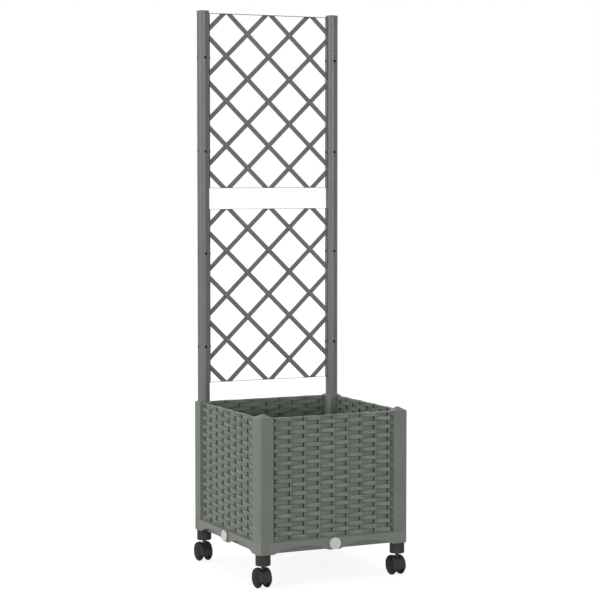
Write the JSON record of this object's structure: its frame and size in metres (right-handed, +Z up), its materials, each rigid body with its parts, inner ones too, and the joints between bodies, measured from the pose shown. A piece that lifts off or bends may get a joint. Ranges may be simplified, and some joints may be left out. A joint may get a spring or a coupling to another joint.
{
  "type": "planter with trellis",
  "caption": "Square floor planter with woven-look plastic sides on swivelling twin-wheel casters, with a tall trellis of diamond lattice between round uprights at its back.",
  "frame": {"origin": "on the floor under the middle of the box", "axes": "+X right as seen from the front, +Y from the front to the trellis at the back, +Z up"},
  "size_m": [0.4108, 0.4188, 1.3969],
  "materials": {
    "grey_plastic": "grey satin moulded plastic",
    "grey_wicker": "grey plastic moulded as woven strands with fine fibre grain",
    "dark_plastic": "dark grey moulded plastic",
    "pale_plastic": "pale grey moulded plastic",
    "black_plastic": "black satin moulded plastic",
    "coated_steel": "grey powder coat",
    "coated_screw": "grey coated steel screw",
    "steel": "plain zinc-plated steel",
    "rubber": "black rubber"
  },
  "bodies": {
    "planter": {"base_tray": "grey_plastic", "corner_post_front_left": "grey_plastic", "post_cap_front_left": "grey_plastic", "caster_socket_front_left": "black_plastic", "corner_post_front_right": "grey_plastic", "post_cap_front_right": "grey_plastic", "caster_socket_front_right": "black_plastic", "corner_post_back_right": "grey_plastic", "post_collar_back_right": "grey_plastic", "caster_socket_back_right": "black_plastic", "corner_post_back_left": "grey_plastic", "post_collar_back_left": "grey_plastic", "caster_socket_back_left": "black_plastic", "wicker_panel_front": "grey_wicker", "wicker_panel_right": "grey_wicker", "wicker_panel_back": "grey_wicker", "wicker_panel_left": "grey_wicker", "trellis_tube_left": "coated_steel", "tube_cap_left": "grey_plastic", "trellis_tube_right": "coated_steel", "tube_cap_right": "grey_plastic", "lattice_rails_upper": "coated_steel", "lattice_side_strips_upper": "coated_steel", "lattice_rising_bars_upper": "coated_steel", "lattice_falling_bars_upper": "coated_steel", "lattice_rails_lower": "coated_steel", "lattice_side_strips_lower": "coated_steel", "lattice_rising_bars_lower": "coated_steel", "lattice_falling_bars_lower": "coated_steel", "trellis_screws": "coated_screw"},
    "soil_grid": {"soil_grid": "dark_plastic"},
    "drain_plug_front": {"drain_plug_front": "pale_plastic", "plug_washer_front": "rubber"},
    "drain_plug_right": {"drain_plug_right": "pale_plastic", "plug_washer_right": "rubber"},
    "drain_plug_back": {"drain_plug_back": "pale_plastic", "plug_washer_back": "rubber"},
    "drain_plug_left": {"drain_plug_left": "pale_plastic", "plug_washer_left": "rubber"},
    "caster_front_left": {"caster_stem_front_left": "steel", "caster_hood_front_left": "black_plastic", "caster_axle_front_left": "steel"},
    "caster_wheel_left_front_left": {"caster_wheel_left_front_left": "black_plastic"},
    "caster_wheel_right_front_left": {"caster_wheel_right_front_left": "black_plastic"},
    "caster_front_right": {"caster_stem_front_right": "steel", "caster_hood_front_right": "black_plastic", "caster_axle_front_right": "steel"},
    "caster_wheel_left_front_right": {"caster_wheel_left_front_right": "black_plastic"},
    "caster_wheel_right_front_right": {"caster_wheel_right_front_right": "black_plastic"},
    "caster_back_right": {"caster_stem_back_right": "steel", "caster_hood_back_right": "black_plastic", "caster_axle_back_right": "steel"},
    "caster_wheel_left_back_right": {"caster_wheel_left_back_right": "black_plastic"},
    "caster_wheel_right_back_right": {"caster_wheel_right_back_right": "black_plastic"},
    "caster_back_left": {"caster_stem_back_left": "steel", "caster_hood_back_left": "black_plastic", "caster_axle_back_left": "steel"},
    "caster_wheel_left_back_left": {"caster_wheel_left_back_left": "black_plastic"},
    "caster_wheel_right_back_left": {"caster_wheel_right_back_left": "black_plastic"}
  },
  "joints": [
    {"name": "soil_grid_lift", "type": "slide", "parent": "planter", "child": "soil_grid", "axis": [0, 0, 1], "range_m": [0, 0.33]},
    {"name": "drain_plug_front_pull", "type": "slide", "parent": "planter", "child": "drain_plug_front", "axis": [0, -1, 0], "range_m": [0, 0.022]},
    {"name": "drain_plug_right_pull", "type": "slide", "parent": "planter", "child": "drain_plug_right", "axis": [1, 0, 0], "range_m": [0, 0.022]},
    {"name": "drain_plug_back_pull", "type": "slide", "parent": "planter", "child": "drain_plug_back", "axis": [0, 1, 0], "range_m": [0, 0.022]},
    {"name": "drain_plug_left_pull", "type": "slide", "parent": "planter", "child": "drain_plug_left", "axis": [-1, 0, 0], "range_m": [0, 0.022]},
    {"name": "caster_front_left_swivel", "type": "hinge", "parent": "planter", "child": "caster_front_left", "pos_m": [-0.181, -0.181, 0.0537], "axis": [0, 0, 1], "continuous": true},
    {"name": "caster_wheel_left_front_left_spin", "type": "hinge", "parent": "caster_front_left", "child": "caster_wheel_left_front_left", "pos_m": [-0.193, -0.174, 0.0235], "axis": [1, 0, 0], "continuous": true},
    {"name": "caster_wheel_right_front_left_spin", "type": "hinge", "parent": "caster_front_left", "child": "caster_wheel_right_front_left", "pos_m": [-0.169, -0.174, 0.0235], "axis": [1, 0, 0], "continuous": true},
    {"name": "caster_front_right_swivel", "type": "hinge", "parent": "planter", "child": "caster_front_right", "pos_m": [0.181, -0.181, 0.0537], "axis": [0, 0, 1], "continuous": true},
    {"name": "caster_wheel_left_front_right_spin", "type": "hinge", "parent": "caster_front_right", "child": "caster_wheel_left_front_right", "pos_m": [0.169, -0.174, 0.0235], "axis": [1, 0, 0], "continuous": true},
    {"name": "caster_wheel_right_front_right_spin", "type": "hinge", "parent": "caster_front_right", "child": "caster_wheel_right_front_right", "pos_m": [0.193, -0.174, 0.0235], "axis": [1, 0, 0], "continuous": true},
    {"name": "caster_back_right_swivel", "type": "hinge", "parent": "planter", "child": "caster_back_right", "pos_m": [0.181, 0.181, 0.0537], "axis": [0, 0, 1], "continuous": true},
    {"name": "caster_wheel_left_back_right_spin", "type": "hinge", "parent": "caster_back_right", "child": "caster_wheel_left_back_right", "pos_m": [0.169, 0.188, 0.0235], "axis": [1, 0, 0], "continuous": true},
    {"name": "caster_wheel_right_back_right_spin", "type": "hinge", "parent": "caster_back_right", "child": "caster_wheel_right_back_right", "pos_m": [0.193, 0.188, 0.0235], "axis": [1, 0, 0], "continuous": true},
    {"name": "caster_back_left_swivel", "type": "hinge", "parent": "planter", "child": "caster_back_left", "pos_m": [-0.181, 0.181, 0.0537], "axis": [0, 0, 1], "continuous": true},
    {"name": "caster_wheel_left_back_left_spin", "type": "hinge", "parent": "caster_back_left", "child": "caster_wheel_left_back_left", "pos_m": [-0.193, 0.188, 0.0235], "axis": [1, 0, 0], "continuous": true},
    {"name": "caster_wheel_right_back_left_spin", "type": "hinge", "parent": "caster_back_left", "child": "caster_wheel_right_back_left", "pos_m": [-0.169, 0.188, 0.0235], "axis": [1, 0, 0], "continuous": true}
  ]
}
